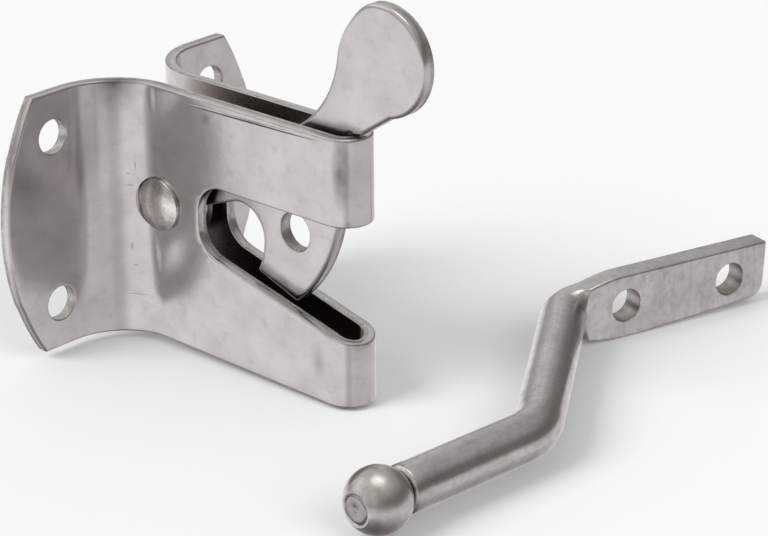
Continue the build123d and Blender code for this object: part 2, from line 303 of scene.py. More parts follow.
def folding_tree():
    """Folds the flat strip round the nose and out into the two flanges."""
    sizes = ("Sheet", "Body Width", "Nose Reach", "Bend Radius", "Edge Flare", "Waviness")
    tree, given, result = node_tree("fold the strip", sizes, ("Skin", "Sheared Edge", "Inside"))
    plus, less, times, over, least, most, sine, cosine, times_plus = (
        functools.partial(reckon, tree, operation) for operation in
        ("ADD", "SUBTRACT", "MULTIPLY", "DIVIDE", "MINIMUM", "MAXIMUM", "SINE", "COSINE", "MULTIPLY_ADD")
    )
    place = wired(tree, "GeometryNodeInputPosition").outputs[0]
    along, up, deep = wired(tree, "ShaderNodeSeparateXYZ", {0: place}).outputs
    length = reckon(tree, "ABSOLUTE", along)
    side = reckon(tree, "SIGN", along)
    radius = times(given["Body Width"], 0.5)
    bend = given["Bend Radius"]
    middle = less(given["Nose Reach"], radius)
    cheek = less(middle, plus(given["Sheet"], bend))
    quarter = math.pi / 2
    nose_turn = least(over(length, radius), quarter)
    past_nose = most(less(length, times(radius, quarter)), 0)
    past_cheek = most(less(past_nose, cheek), 0)
    bend_turn = least(over(past_cheek, bend), quarter)
    on_flange = most(less(past_cheek, times(bend, quarter)), 0)
    near_edge = reckon(tree, "SMOOTH_MAX", less(reckon(tree, "ABSOLUTE", up), flare_start), 0, flare_blend)
    bulge = times(reckon(tree, "POWER", over(near_edge, flare_run), 2), sine(times(bend_turn, 2)))
    flat_place = wired(tree, "ShaderNodeCombineXYZ", {0: along, 1: times(up, wave_upright)}).outputs[0]
    wave_inputs = {"Vector": flat_place, "W": wave_seed, "Scale": wave_scale, "Detail": 1}
    wave = wired(tree, "ShaderNodeTexNoise", wave_inputs, noise_dimensions="4D").outputs[0]
    depth = plus(deep, times(less(wave, 0.5), given["Waviness"]))
    depth = less(depth, times(bulge, given["Edge Flare"]))
    inner_nose = less(radius, depth)
    outer_bend = plus(bend, depth)
    out = less(times_plus(inner_nose, cosine(nose_turn), middle), least(past_nose, cheek))
    out = less(out, times(outer_bend, sine(bend_turn)))
    spread = times_plus(inner_nose, sine(nose_turn), on_flange)
    spread = times_plus(outer_bend, less(1, cosine(bend_turn)), spread)
    pressed = wired(tree, "GeometryNodeInputNamedAttribute", {"Name": "pressed"}, data_type="FLOAT")
    spread = times_plus(pressed.outputs["Attribute"], less(least(spread, radius), spread), spread)
    folded = wired(tree, "ShaderNodeCombineXYZ", {0: out, 1: times(spread, side), 2: up}).outputs[0]
    move = wired(tree, "GeometryNodeSetPosition", {"Geometry": given["Geometry"], "Position": folded})
    real = wired(tree, "GeometryNodeRealizeInstances", {0: move.outputs[0]}).outputs[0]
    last = wired(tree, "GeometryNodeSetMaterial", {"Geometry": real, "Material": given["Skin"]})
    finish = wired(tree, "GeometryNodeInputNamedAttribute", {"Name": "finish"}, data_type="INT")
    for number, name in ((sheared_face, "Sheared Edge"), (inner_face, "Inside")):
        chosen = reckon(tree, "COMPARE", finish.outputs["Attribute"], number, 0.1)
        inputs = {"Geometry": last.outputs[0], "Selection": chosen, "Material": given[name]}
        last = wired(tree, "GeometryNodeSetMaterial", inputs)
    tree.links.new(last.outputs[0], result[0])
    return tree


def shader(name):
    """A new material, its node tree, and the shader at its end."""
    material = bpy.data.materials.new(name)
    material.use_nodes = True
    return material, material.node_tree, material.node_tree.nodes["Principled BSDF"]


def texture(tree, kind, coordinates, scale, detail=2, stretch=(1, 1, 1), turn=0):
    """A pattern at its own scale and stretch, on the given coordinates."""
    turned_place = {"Vector": coordinates, "Scale": stretch, "Rotation": (0, 0, turn)}
    mapping = wired(tree, "ShaderNodeMapping", turned_place)
    inputs = {"Vector": mapping.outputs[0], "Scale": scale, "Detail": detail}
    return wired(tree, "ShaderNodeTex" + kind, inputs).outputs[0]


def ramp(tree, value, *stops):
    """A value turned into another, or into a colour, through stops from dark to light."""
    colours = wired(tree, "ShaderNodeValToRGB", {0: value})
    while len(colours.color_ramp.elements) < len(stops):
        colours.color_ramp.elements.new(0.5)
    for element, (position, colour) in zip(colours.color_ramp.elements, stops):
        element.position = position
        element.color = (*colour, 1) if isinstance(colour, tuple) else (colour, colour, colour, 1)
    return colours.outputs[0]


def mixed(tree, share, first, second, blend="MIX"):
    """Two colours or results mixed by a share."""
    inputs = {0: share}
    for slot, value in ((6, first), (7, second)):
        inputs[slot] = (*value, 1) if isinstance(value, tuple) else value
    mix = wired(tree, "ShaderNodeMix", inputs, data_type="RGBA", blend_type=blend, clamp_factor=True)
    return mix.outputs[2]


def darkened(tree, tint, share, value, *stops):
    """A colour made darker by a share where a result, turned through its stops, is low."""
    return mixed(tree, share, tint, ramp(tree, value, *stops), "MULTIPLY")


def specked(tree, tint, share, pitting, clouds, speck_colour, edge, cloud_edge):
    """A colour with small dark pits here and there, and the pits' own depth."""
    specks = ramp(tree, pitting, (edge[0], 0), (edge[1], 1))
    few = ramp(tree, clouds, (cloud_edge[0], 1), (cloud_edge[1], 0))
    specks = mixed(tree, 1, specks, few, "LIGHTEN")
    return mixed(tree, share, tint, mixed(tree, 1, specks, speck_colour, "LIGHTEN"), "MULTIPLY"), specks


def metal_finish(tree, metal, tint, dullness, heights):
    """Gives the metal its colour, its dullness and its bumps, each a result, a strength and metres."""
    metal.inputs["Metallic"].default_value = 1
    tree.links.new(tint, metal.inputs["Base Color"])
    tree.links.new(dullness, metal.inputs["Roughness"])
    inputs = {}
    for height, strength, distance in heights:
        inputs |= {"Height": height, "Strength": strength, "Distance": distance}
        inputs["Normal"] = wired(tree, "ShaderNodeBump", inputs).outputs[0]
    tree.links.new(inputs["Normal"], metal.inputs["Normal"])


def patch(tree, coordinates, centre, size, turn=0):
    """A soft round or long patch at its place on the sheet, full in its middle."""
    place = {"Vector": coordinates, "Location": (*centre, 0), "Rotation": (0, 0, turn), "Scale": (*size, 1)}
    mapping = wired(tree, "ShaderNodeMapping", place, vector_type="TEXTURE")
    spot = wired(tree, "ShaderNodeTexGradient", {0: mapping.outputs[0]}, gradient_type="SPHERICAL")
    return spot.outputs[1]


def rolled_steel(name, light, dark, roughness, anisotropy, pits=0.5, grit=1.0, patches_and_shade=(), line=None):
    """Bright rolled stainless sheet: fine rolling lines along the strip, dull clouds, pits and scratches."""
    material, tree, metal = shader(name)
    on_sheet = wired(tree, "ShaderNodeUVMap", uv_map="grain").outputs[0]
    lines = texture(tree, "Noise", on_sheet, 1, 6, (9000, 160, 1))
    fine = texture(tree, "Noise", on_sheet, 1, 3, (2600, 1500, 1))
    clouds = texture(tree, "Noise", on_sheet, 110, 5)
    stains = texture(tree, "Noise", on_sheet, 330, 6, (1, 0.8, 1))
    pitting = texture(tree, "Voronoi", on_sheet, 330)
    nicks = texture(tree, "Voronoi", on_sheet, 1, 0, (520, 95, 1), math.radians(35))
    tint = mixed(tree, ramp(tree, clouds, (0.35, 0), (0.65, 1)), dark, light)
    tint = darkened(tree, tint, 0.6, stains, (0.28, 0.82), (0.45, 1))
    tint = darkened(tree, tint, 0.7, lines, (0.3, 0.90), (0.7, 1.0))
    pit_colour = (0.25, 0.22, 0.22)
    tint, specks = specked(tree, tint, pits, pitting, clouds, pit_colour, (0.045, 0.075), (0.50, 0.62))
    # Dark patches at given places: some are marks on the sheet, some are painted shade.
    for centre, size, strength in patches_and_shade:
        uneven = ramp(tree, stains, (0.3, 0.5), (0.6, 1))
        uneven = reckon(tree, "MULTIPLY", patch(tree, on_sheet, centre, size), uneven)
        tint = mixed(tree, reckon(tree, "MULTIPLY", uneven, strength), tint, (0.10, 0.092, 0.09))
    dullness = mixed(tree, 0.5, ramp(tree, clouds, (0.3, roughness + 0.05), (0.7, roughness - 0.04)),
                     ramp(tree, fine, (0.3, roughness + 0.06), (0.7, roughness - 0.05)))
    metal.inputs["Anisotropic"].default_value = anisotropy
    lay = wired(tree, "ShaderNodeTangent", direction_type="UV_MAP", uv_map="grain")
    tree.links.new(lay.outputs[0], metal.inputs["Tangent"])
    heights = [
        (clouds, 0.12, 0.0004), (lines, 0.05 * grit, 0.00003), (fine, 0.06 * grit, 0.00003),
        (ramp(tree, nicks, (0.0, 0), (0.05, 1)), 0.12 * grit, 0.00002), (specks, 0.35, 0.00004),
    ]
    if line:
        heights.append((patch(tree, on_sheet, *line), 1.0, 0.0006))
    metal_finish(tree, metal, tint, dullness, heights)
    return material


def sheared_steel(name, light, dark):
    """The rough, torn part of a punched edge, with darker patches."""
    material, tree, metal = shader(name)
    place = wired(tree, "ShaderNodeTexCoord").outputs["Object"]
    tearing = texture(tree, "Noise", place, 2600, 6)
    patches = texture(tree, "Noise", place, 420, 3)
    tint = mixed(tree, ramp(tree, patches, (0.35, 0), (0.65, 1)), dark, light)
    tint = darkened(tree, tint, 0.8, tearing, (0.32, 0.68), (0.6, 1))
    dullness = ramp(tree, tearing, (0.3, 0.52), (0.7, 0.34))
    metal_finish(tree, metal, tint, dullness, [(patches, 0.3, 0.0003), (tearing, 0.3, 0.00008)])
    return material


def shaded_inside(steel):
    """Paints shade into a steel's colour inside the channel: darker along the nose and most of the cheeks
    than towards the bends by the post, and darker still low down.
    """
    tree = steel.node_tree
    base = tree.nodes["Principled BSDF"].inputs["Base Color"]
    height, along = wired(tree, "ShaderNodeSeparateXYZ", {0: tree.nodes["UV Map"].outputs[0]}).outputs[:2]
    away = reckon(tree, "ABSOLUTE", along)
    # Painted shade inside the channel, where little light gets in: a darker tint away from the bends, and
    # darker still low down.
    painted_shade = ramp(tree, away, (0.045, (0.66, 0.63, 0.58)), (0.0595, (1, 1, 1)))
    deep_in = ramp(tree, height, (0.013, (0.28, 0.27, 0.265)), (0.024, (1, 1, 1)))
    deep_in = mixed(tree, 1, painted_shade, deep_in, "MULTIPLY")
    painted_shade = mixed(tree, reckon(tree, "LESS_THAN", away, 0.055), painted_shade, deep_in)
    tree.links.new(mixed(tree, 1, base.links[0].from_socket, painted_shade, "MULTIPLY"), base)
    return steel


# Each mark is a dark patch: its middle, as height and length from the nose's middle, its half sizes, and its
# strength. The large one at the top of the near bend is painted shade of the edge that curls there; the
# others are marks on the sheet.
# The line from the rolls has a small turn in the place of a strength.
marks_and_painted_shade = (
    ((0.0222, -0.0058), (0.0090, 0.0022), 1.0), ((0.0246, -0.0430), (0.0016, 0.0018), 0.55),
    # The first patch on this line is painted shade, at the top of the near bend.
    ((0.0285, -0.0670), (0.0075, 0.0062), 0.95), ((0.0262, -0.0560), (0.0050, 0.0060), 0.35),
    ((-0.0205, -0.0120), (0.0045, 0.0020), 0.40), ((0.0098, -0.0636), (0.0014, 0.0002), 0.80),
    ((0.0078, -0.0652), (0.0003, 0.0006), 0.70), ((0.0052, -0.0649), (0.0002, 0.0010), 0.75),
    ((-0.0088, -0.0650), (0.0010, 0.0004), 0.60), ((-0.0131, -0.0643), (0.0003, 0.0007), 0.70),
    ((-0.0198, -0.0640), (0.0002, 0.0030), 0.75),
)
roll_line = ((0.0270, -0.0300), (0.00035, 0.0190), math.radians(-1.2))
steel_colours = ((0.60, 0.58, 0.58), (0.53, 0.505, 0.505))
strap_steel = rolled_steel("strap_steel", *steel_colours, 0.20, 0.5, 0.5, 1.0, marks_and_painted_shade, roll_line)
edge_steel = sheared_steel("sheared_edge", (0.64, 0.625, 0.605), (0.46, 0.445, 0.425))
# The inside of the channel carries painted shade.
inner_steel = shaded_inside(rolled_steel("inner_steel", *steel_colours, 0.28, 0.5, 0.8))


def closed(piece, sharp_turn):
    """The piece with its doubles merged, its faces outwards and its corners kept crisp."""
    skin = bmesh.new()
    skin.from_mesh(piece.data)
    bmesh.ops.remove_doubles(skin, verts=skin.verts, dist=merge_distance)
    bmesh.ops.recalc_face_normals(skin, faces=skin.faces)
    skin.to_mesh(piece.data)
    skin.free()
    piece.data.set_sharp_from_angle(angle=math.radians(sharp_turn))


made_by(body, folding_tree(), {
    "Sheet": sheet, "Body Width": body_width, "Nose Reach": nose_reach, "Bend Radius": bend_radius,
    "Edge Flare": edge_flare, "Waviness": waviness,
    "Skin": strap_steel, "Sheared Edge": edge_steel, "Inside": inner_steel,
})
closed(body, 32)
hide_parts("latch_body")
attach(body, "latch")

# Pawl: one plate punched from 3 mm sheet, its near side rolled over all round by the press. It hangs on the
# rivet between the cheeks, shuts over the striker with its hook, and is lifted by the round thumb tab.
pawl_thickness = 0.003
heel_radius = 0.0088
arm_slope = math.radians(20)
bar_seat = Vector((0.0353, -0.0005))
bar_seat_radius = 0.0066
hook_drop, hook_undercut = 0.0072, 0.0020
tip_width, tip_drop = 0.0112, 0.0041
front_bulge = Vector((0.0637, 0.0146))
stop_corner = Vector((0.0665, 0.0287))
neck_lip, neck_lip_rise = 0.0032, 0.0004
neck_rear = Vector((0.0490, 0.0256))
tab_centre = Vector((0.0750, 0.0456))
tab_radius, tab_flattening = 0.0116, 0.0011
tab_foot_side, tab_crown_side, tab_rear_side, tab_neck_side = -78, 100, 143, 183
shackle_centre, shackle_radius, shackle_steps = Vector((0.0512, 0.0038)), 0.0041, 64
pawl_rollover, pivot_rollover, shackle_rollover = 0.00095, 0.0002, 0.00035
pawl_corner_radius = 0.0009


def on_circle(centre, radius, degrees):
    """A point of a circle in the pawl's plane."""
    turn = math.radians(degrees)
    return centre + Vector((radius * math.cos(turn), radius * math.sin(turn)))


def tangent_arc(start, end, heading, steps):
    """Points of the arc that leaves the start along the heading and ends at the end point."""
    side = Vector((-heading.y, heading.x)).normalized()
    chord = end - start
    radius = chord.length_squared / (2 * chord.dot(side))
    centre = start + side * radius
    first = math.degrees(math.atan2(start.y - centre.y, start.x - centre.x))
    swept = math.degrees(2 * math.asin(max(-1, min(1, chord.length / (2 * abs(radius))))))
    return arc(centre, abs(radius), first, first + math.copysign(swept, radius), steps)


def eased(start, start_heading, end, end_heading, steps):
    """Points of a smooth curve between two places with a heading at each."""
    reach = (end - start).length
    points = []
    for step in range(steps + 1):
        t = step / steps
        points.append(
            start * (2 * t**3 - 3 * t**2 + 1) + end * (3 * t**2 - 2 * t**3)
            + start_heading * (reach * (t**3 - 2 * t**2 + t)) + end_heading * (reach * (t**3 - t**2))
        )
    return points


def rounded_corner(corner, before, after, radius):
    """A corner between two runs, rounded off."""
    back = (before - corner).normalized()
    on = (after - corner).normalized()
    reach = radius / math.tan(back.angle(on) / 2)
    first, last = corner + back * reach, corner + on * reach
    shares = (0, 0.2, 0.4, 0.6, 0.8, 1)
    return [first * (1 - t) ** 2 + corner * (2 * t * (1 - t)) + last * t**2 for t in shares]


def pawl_outline():
    """The pawl's edge, from the heel over the thumb tab to the hook, the bar's seat and back."""
    pivot = Vector((pivot_x, pivot_z))
    rise = neck_rear - pivot
    back_slope = math.degrees(math.atan2(rise.y, rise.x) - math.asin(heel_radius / rise.length))
    heel_top = on_circle(pivot, heel_radius, 90 + back_slope)
    arm = Vector((math.cos(arm_slope), math.sin(arm_slope)))
    seat_turn = 90 + math.degrees(arm_slope)
    seat_top = on_circle(bar_seat, bar_seat_radius, seat_turn)
    seat_front = on_circle(bar_seat, bar_seat_radius, 0)
    seat_reach = (seat_top - pivot).dot(arm)
    seat_depth = (seat_top - pivot - arm * seat_reach).length
    arm_start = seat_top - arm * (seat_reach - math.sqrt(heel_radius**2 - seat_depth**2))
    arm_turn = math.degrees(math.atan2(arm_start.y - pivot.y, arm_start.x - pivot.x))
    hook_inner = seat_front + Vector((-hook_undercut, -hook_drop))
    tip = hook_inner + Vector((tip_width, -tip_drop))
    lip_end = stop_corner + Vector((neck_lip, neck_lip_rise))
    tab_foot = on_circle(tab_centre, tab_radius, tab_foot_side)
    tab_neck = on_circle(tab_centre, tab_radius, tab_neck_side)
    tab_rear = on_circle(tab_centre, tab_radius - tab_flattening, tab_rear_side)
    tab_crown = on_circle(tab_centre, tab_radius, tab_crown_side)
    back = (neck_rear - heel_top).normalized()
    neck = tangent_arc(neck_rear, tab_neck, back, 20)
    neck_heading = (neck[-1] - neck[-2]).normalized()
    rear_heading = (tab_crown - tab_neck).normalized()
    crown_turn = math.radians(tab_crown_side - 90)
    crown_heading = Vector((math.cos(crown_turn), math.sin(crown_turn)))
    upper_front = list(reversed(tangent_arc(front_bulge, stop_corner, Vector((0, 1)), 12)))
    lower_front = tangent_arc(front_bulge, tip, Vector((0, -1)), 24)
    hook = list(reversed(tangent_arc(seat_front, hook_inner, Vector((0, -1)), 10)))
    points = [heel_top] + neck
    points += eased(tab_neck, neck_heading, tab_rear, rear_heading, 10)[1:]
    points += eased(tab_rear, rear_heading, tab_crown, crown_heading, 10)[1:]
    points += arc(tab_centre, tab_radius, tab_crown_side, tab_foot_side, 44)[1:-1]
    points += rounded_corner(tab_foot, points[-1], lip_end, pawl_corner_radius)
    points += rounded_corner(lip_end, tab_foot, stop_corner, pawl_corner_radius)
    points += rounded_corner(stop_corner, lip_end, upper_front[1], pawl_corner_radius)
    points += upper_front[2:] + lower_front[1:-2]
    points += rounded_corner(tip, lower_front[-3], hook_inner, pawl_corner_radius)
    points += rounded_corner(hook_inner, tip, hook[1], pawl_corner_radius)
    points += hook[2:] + arc(bar_seat, bar_seat_radius, 0, seat_turn, 20)[1:]
    points += arc((pivot_x, pivot_z), heel_radius, arm_turn, back_slope + 90 - 360, 40)[:-1]
    return list(reversed(points))


pawl_cuts = [(pawl_outline(), cut_profile(pawl_rollover, pawl_thickness), torn_wall)]
for centre, radius, steps, rollover in (
    ((pivot_x, pivot_z), rivet_hole_radius, hole_steps, pivot_rollover),
    (shackle_centre, shackle_radius, shackle_steps, shackle_rollover),
):
    pawl_cuts.append((round_hole(centre, radius, steps), cut_profile(rollover, pawl_thickness), cut_wall))
pawl = finished_plate(punched_plate(pawl_cuts), "lifting_pawl")
pawl_steel = rolled_steel("pawl_steel", (0.62, 0.60, 0.595), (0.55, 0.53, 0.525), 0.24, 0.2, 0.75, 0.3)
pawl.data.materials.append(pawl_steel)
pawl.data.materials.append(edge_steel)
for face, finish in zip(pawl.data.polygons, pawl.data.attributes["finish"].data):
    face.material_index = finish.value
for vert in pawl.data.vertices:
    vert.co = Vector((vert.co.x, vert.co.z - pawl_thickness / 2, vert.co.y))
closed(pawl, 32)
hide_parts("pawl")
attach(pawl, "pawl")

# Rivet: cold headed from 6 mm stainless wire, with a low dome on each side. The punch that closed the near
# head left both a little out of round.
shank_radius = 0.0030
head_radius, head_edge_radius, head_crown_radius = 0.00585, 0.00579, 0.00573
head_rim, head_dome, head_sink, rim_round = 0.0007, 0.0012, 0.0001, 0.00025
head_foot, head_flat = 0.00015, 0.00003
rivet_steps, dome_steps, head_ripple = 64, 12, 0.006


def turned(name, profile, steps, placing, ripple=0):
    """A turned piece from pairs of place along its axis and radius, with its ends closed."""
    skin = bmesh.new()
    rings = []
    for along, radius in profile:
        ring = []
        for step in range(steps if radius else 1):
            turn = 2 * math.pi * step / steps
            swell = radius * (1 + ripple * math.sin(2 * turn + 0.7) + ripple * 0.6 * math.sin(3 * turn + 2))
            ring.append(skin.verts.new((swell * math.cos(turn), swell * math.sin(turn), along)))
        rings.append(ring)
    for upper, lower in zip(rings, rings[1:]):
        for index in range(steps):
            corners = [upper[index % len(upper)], upper[(index + 1) % len(upper)],
                       lower[(index + 1) % len(lower)], lower[index % len(lower)]]
            skin.faces.new(list(dict.fromkeys(corners))).smooth = True
    bmesh.ops.recalc_face_normals(skin, faces=skin.faces)
    skin.transform(placing)
    return as_piece(skin, name)


def head_profile():
    """Half of the rivet, from the middle of its shank to the top of its head."""
    cheek = body_width / 2
    under = cheek - head_sink
    sphere = (head_radius**2 + head_dome**2) / (2 * head_dome)
    half = [(0, shank_radius), (under, shank_radius), (under, head_radius - rim_round)]
    half += [(cheek + head_foot, head_edge_radius), (cheek + head_rim - rim_round, head_radius)]
    for step in range(dome_steps + 1):
        radius = head_crown_radius * (1 - step / dome_steps)
        crown = math.sqrt(sphere**2 - radius**2) - (sphere - head_dome)
        half.append((cheek + head_rim + crown - head_flat, radius))
    return half


rivet_half = head_profile()
rivet_profile = [(-along, radius) for along, radius in reversed(rivet_half[1:])] + rivet_half
across = Matrix.Rotation(math.radians(90), 4, "X")
on_pivot = Matrix.Translation((pivot_x, 0, pivot_z)) @ across
rivet = turned("rivet", rivet_profile, rivet_steps, on_pivot, head_ripple)


def headed_steel(name, light, dark, roughness):
    """Cold headed wire: smooth and bright, with faint dents and darker patches."""
    material, tree, metal = shader(name)
    place = wired(tree, "ShaderNodeTexCoord").outputs["Object"]
    patches = texture(tree, "Noise", place, 260, 3)
    grains = texture(tree, "Noise", place, 1900, 5)
    tint = mixed(tree, ramp(tree, patches, (0.38, 0), (0.62, 1)), dark, light)
    tint = darkened(tree, tint, 0.5, grains, (0.3, 0.75), (0.55, 1))
    dullness = ramp(tree, grains, (0.3, roughness + 0.08), (0.7, roughness - 0.04))
    metal_finish(tree, metal, tint, dullness, [(patches, 0.3, 0.0005), (grains, 0.05, 0.00004)])
    return material


rivet.data.materials.append(headed_steel("rivet_steel", (0.76, 0.74, 0.71), (0.60, 0.58, 0.545), 0.20))
closed(rivet, 40)
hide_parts("pivot_rivet")
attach(rivet, "latch")

# Washers: two thin rings stamped from mild sheet, threaded on the rivet to keep the pawl in the middle.
# A node tree stamps the ring once and sets one on each side.
washer_radius, washer_thickness = 0.0060, 0.0015
washer_middle = (body_width / 2 - sheet + pawl_thickness / 2) / 2
washer_rim = 0.00012
washer_side, washer_corner = washer_thickness / 2, washer_radius - washer_rim
washer_profile = [
    (-washer_side, rivet_hole_radius), (-washer_side, washer_corner),
    (washer_rim - washer_side, washer_radius), (washer_side - washer_rim, washer_radius),
    (washer_side, washer_corner), (washer_side, rivet_hole_radius), (-washer_side, rivet_hole_radius),
]
washers = turned("washers", washer_profile, rivet_steps, across)


def washer_tree():
    """Sets one ring on each side of the middle, on the rivet's line."""
    tree, given, result = node_tree("set the washers", ("Out", "Up", "Spread"), ("Finish",))
    ends = {"Count": 2}
    for side, end in ((-1, "Start Location"), (1, "Offset")):
        spread = reckon(tree, "MULTIPLY", given["Spread"], side)
        place = {0: given["Out"], 1: spread, 2: given["Up"]}
        ends[end] = wired(tree, "ShaderNodeCombineXYZ", place).outputs[0]
    line = wired(tree, "GeometryNodeMeshLine", ends, mode="END_POINTS").outputs[0]
    rings = wired(tree, "GeometryNodeInstanceOnPoints", {"Points": line, "Instance": given["Geometry"]})
    real = wired(tree, "GeometryNodeRealizeInstances", {0: rings.outputs[0]}).outputs[0]
    finish = wired(tree, "GeometryNodeSetMaterial", {"Geometry": real, "Material": given["Finish"]})
    tree.links.new(finish.outputs[0], result[0])
    return tree


washer_steel = headed_steel("washer_steel", (0.42, 0.40, 0.38), (0.28, 0.26, 0.25), 0.42)
made_by(washers, washer_tree(), {
    "Out": pivot_x, "Up": pivot_z, "Spread": washer_middle, "Finish": washer_steel,
})
closed(washers, 40)
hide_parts("near_washer", "far_washer")
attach(washers, "latch")

# Striker bar: 10 mm round bar, zinc plated. It is turned down to a spigot for the ball, cranked cold, and
# hammered flat at the far end, where it is turned back into line and drilled for two screws.
bar_radius, ball_radius, spigot_radius = 0.005, 0.0068, 0.0030
groove_outer, ball_back_radius, ball_back_gap = 0.0036, 0.0044, 0.0003
ball_face = math.sqrt(ball_radius**2 - groove_outer**2)
shoulder = math.sqrt(ball_radius**2 - ball_back_radius**2) + ball_back_gap
spigot_end = (
    (0.0002, 0.0003), (0.00016, 0.0006), (0, 0.0009), (0, 0.0024), (0.00004, 0.00262), (0.00035, 0.00297),
    (0.0005, spigot_radius),
)
shoulder_edge = ((0, spigot_radius), (0, 0.0042), (0.00012, 0.00442), (0.0005, 0.00494), (0.0007, bar_radius))
bar_length, crank_length = 0.0425, 0.0574
crank_angle, forging_turn = math.radians(38.5), math.radians(50.7)
crank_bend_radius = 0.016
inside_corner_radius = 0.0015
flat_thickness, flat_edge_round = 0.0052, 0.0006
flat_neck_height, flat_neck_drop = 0.0122, 0.00035
flat_widening, neck_run, neck_overlap = 0.0090, 0.0046, 0.0015
flat_top, flat_bottom, flat_end_bottom = 0.0071, 0.0075, 0.0058
flat_reach, flat_end_slant = 0.0524, 0.0008
flat_lower_corner, flat_upper_corner = 0.0040, 0.0010
gate_hole_radius, first_gate_hole, gate_hole_pitch = 0.0037, 0.01465, 0.0277
gate_hole_round, gate_hole_easing = 0.0002, 5
striker_heading = math.radians(4.9)
least_travel = 0.00001
striker_place = Vector((0.1090, -0.0402, nose_bottom + ball_radius))
corner_points, straight_steps, bend_steps, crank_steps, forging_steps, neck_steps = 12, 12, 24, 16, 18, 6
on_striker = Matrix.Translation(striker_place) @ Matrix.Rotation(math.radians(90) - striker_heading, 4, "Z")


def level(turn):
    """A level direction in the striker's own frame, turned from the bar's line towards the post."""
    return Vector((math.cos(turn), math.sin(turn), 0))


def section(place, turn, thickness, height, rounding):
    """Points of a rounded section across the striker at a place, facing along a turn."""
    left = level(turn + math.pi / 2)
    points = []
    for corner, (side, rise) in enumerate(((1, 1), (-1, 1), (-1, -1), (1, -1))):
        for step in range(corner_points):
            angle = math.radians(90) * (corner + (step + 0.5) / corner_points)
            out = side * (thickness / 2 - rounding) + rounding * math.cos(angle)
            up = rise * (height / 2 - rounding) + rounding * math.sin(angle)
            points.append(place + left * out + Vector((0, 0, up)))
    return points


def round_section(place, turn, radius):
    """A round section of the bar."""
    return section(place, turn, 2 * radius, 2 * radius, radius)


def bar_sections():
    """The striker from the middle of the spigot's end to where the flat begins."""
    profile = [(on - ball_face, radius) for on, radius in spigot_end]
    profile += [(on + shoulder, radius) for on, radius in shoulder_edge]
    rows = [round_section(Vector((along, 0, 0)), 0, radius) for along, radius in profile]
    bend_reach = crank_bend_radius * math.tan(crank_angle / 2)
    straight = bar_length - bend_reach - shoulder
    for step in range(1, straight_steps):
        rows.append(round_section(Vector((shoulder + straight * step / straight_steps, 0, 0)), 0, bar_radius))
    bend_middle = Vector((bar_length - bend_reach, crank_bend_radius, 0))
    for step in range(bend_steps + 1):
        turn = crank_angle * step / bend_steps
        place = bend_middle + level(turn - math.pi / 2) * crank_bend_radius
        rows.append(round_section(place, turn, bar_radius))
    crank_end = Vector((bar_length, 0, 0)) + level(crank_angle) * crank_length
    flat_turn = crank_angle - forging_turn
    crank_offset = bar_radius + inside_corner_radius
    flat_offset = flat_thickness / 2 + inside_corner_radius
    past_crank = (crank_offset - flat_offset * math.cos(forging_turn)) / math.sin(forging_turn) ** 2
    past_flat = (flat_offset - crank_offset * math.cos(forging_turn)) / math.sin(forging_turn) ** 2
    corner = crank_end + level(crank_angle - math.pi / 2) * past_crank
    corner += level(flat_turn - math.pi / 2) * past_flat
    crank_start = bend_middle + level(crank_angle - math.pi / 2) * crank_bend_radius
    crank_stop = corner + level(crank_angle + math.pi / 2) * crank_offset
    for step in range(1, crank_steps):
        rows.append(round_section(crank_start.lerp(crank_stop, step / crank_steps), crank_angle, bar_radius))
    for step in range(forging_steps + 1):
        share = step / forging_steps
        turn = crank_angle - forging_turn * share
        thickness = 2 * bar_radius + (flat_thickness - 2 * bar_radius) * share
        height = 2 * bar_radius + (flat_neck_height - 2 * bar_radius) * share
        rounding = min(bar_radius * (1 - share) + flat_edge_round * share, thickness / 2)
        place = corner + level(turn + math.pi / 2) * (inside_corner_radius + thickness / 2)
        drop = Vector((0, 0, flat_neck_drop * share))
        rows.append(section(place - drop, turn, thickness, height, rounding))
    flat_start = corner + level(flat_turn + math.pi / 2) * flat_offset
    for step in range(1, neck_steps + 1):
        run = neck_run * step / neck_steps
        top, bottom = flat_edges(run)
        place = flat_start + level(flat_turn) * run + Vector((0, 0, (top - bottom) / 2))
        rows.append(section(place, flat_turn, flat_thickness, top + bottom, flat_edge_round))
    return rows, flat_start, flat_turn, crank_end


def flat_edges(run):
    """How far the neck reaches above and below the bar's line, a run past the corner."""
    share = math.sin(math.radians(90) * min(run / flat_widening, 1))
    neck_top = flat_neck_height / 2 - flat_neck_drop
    neck_bottom = flat_neck_height / 2 + flat_neck_drop
    return neck_top + (flat_top - neck_top) * share, neck_bottom + (flat_bottom - neck_bottom) * share


rows, flat_start, flat_turn, crank_end = bar_sections()
row_middles = [sum(row, Vector()) / len(row) for row in rows]
travelled = [0]
for here, following in zip(row_middles, row_middles[1:]):
    travelled.append(travelled[-1] + max((following - here).length, least_travel))
bar_skin = bmesh.new()
bar_grain = bar_skin.loops.layers.uv.new("grain")
rings = [[bar_skin.verts.new(point) for point in row] for row in rows]
for number, (upper, lower) in enumerate(zip(rings, rings[1:])):
    for index in range(len(upper)):
        face = bar_skin.faces.new((upper[index - 1], upper[index], lower[index], lower[index - 1]))
        face.smooth = True
        for loop in face.loops:
            around = (index - (loop.vert in (upper[index - 1], lower[index - 1]))) / len(upper)
            run = travelled[number + (loop.vert in lower)]
            loop[bar_grain].uv = (around * 2 * math.pi * bar_radius, run)
for ring in (rings[0], rings[-1]):
    bar_skin.faces.new(ring)
bmesh.ops.recalc_face_normals(bar_skin, faces=bar_skin.faces)
bar = as_piece(bar_skin, "striker")


